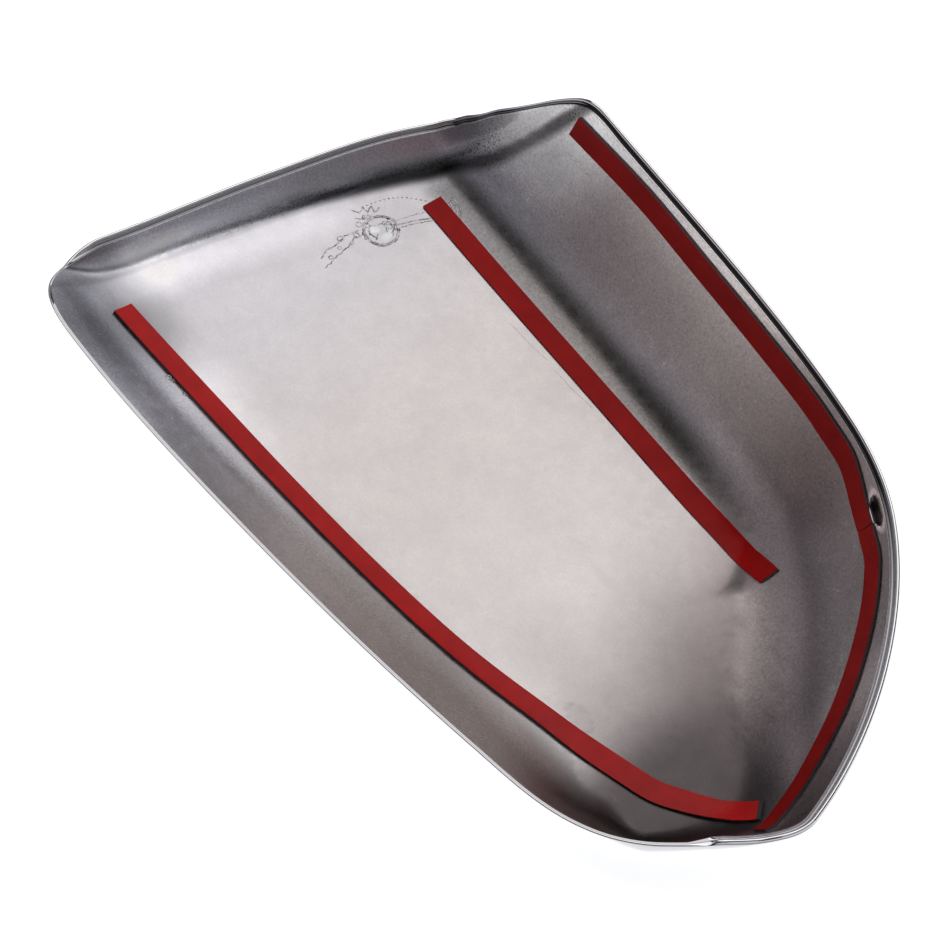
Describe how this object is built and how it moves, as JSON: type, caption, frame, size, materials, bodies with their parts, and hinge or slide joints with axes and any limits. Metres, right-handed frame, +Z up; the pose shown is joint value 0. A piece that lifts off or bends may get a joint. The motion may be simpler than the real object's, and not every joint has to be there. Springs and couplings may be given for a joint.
{
  "type": "wing mirror cover",
  "caption": "Chrome-plated wing mirror cover lying open side up, with red-lined foam tape strips that stick it to the mirror housing.",
  "frame": {"origin": "middle of the cover's box seen from above, on the surface that the flat outer floor lies on", "axes": "+X along the straight upper edge to the pointed tip, +Y across to that edge, +Z up out of the open side"},
  "size_m": [0.2372, 0.1412, 0.0472],
  "materials": {
    "chrome_shell": "satin chrome on the inside, mirror chrome on the outside and the rim",
    "tape_foam": "dark closed-cell foam",
    "tape_liner": "dull red release film"
  },
  "bodies": {
    "root": {"mirror_cover_shell": "chrome_shell", "lower_tape_foam": "tape_foam", "middle_tape_foam": "tape_foam", "upper_tape_foam": "tape_foam", "tip_tape_foam": "tape_foam", "lower_tape_liner": "tape_liner", "middle_tape_liner": "tape_liner", "upper_tape_liner": "tape_liner", "tip_tape_liner": "tape_liner"}
  },
  "joints": []
}
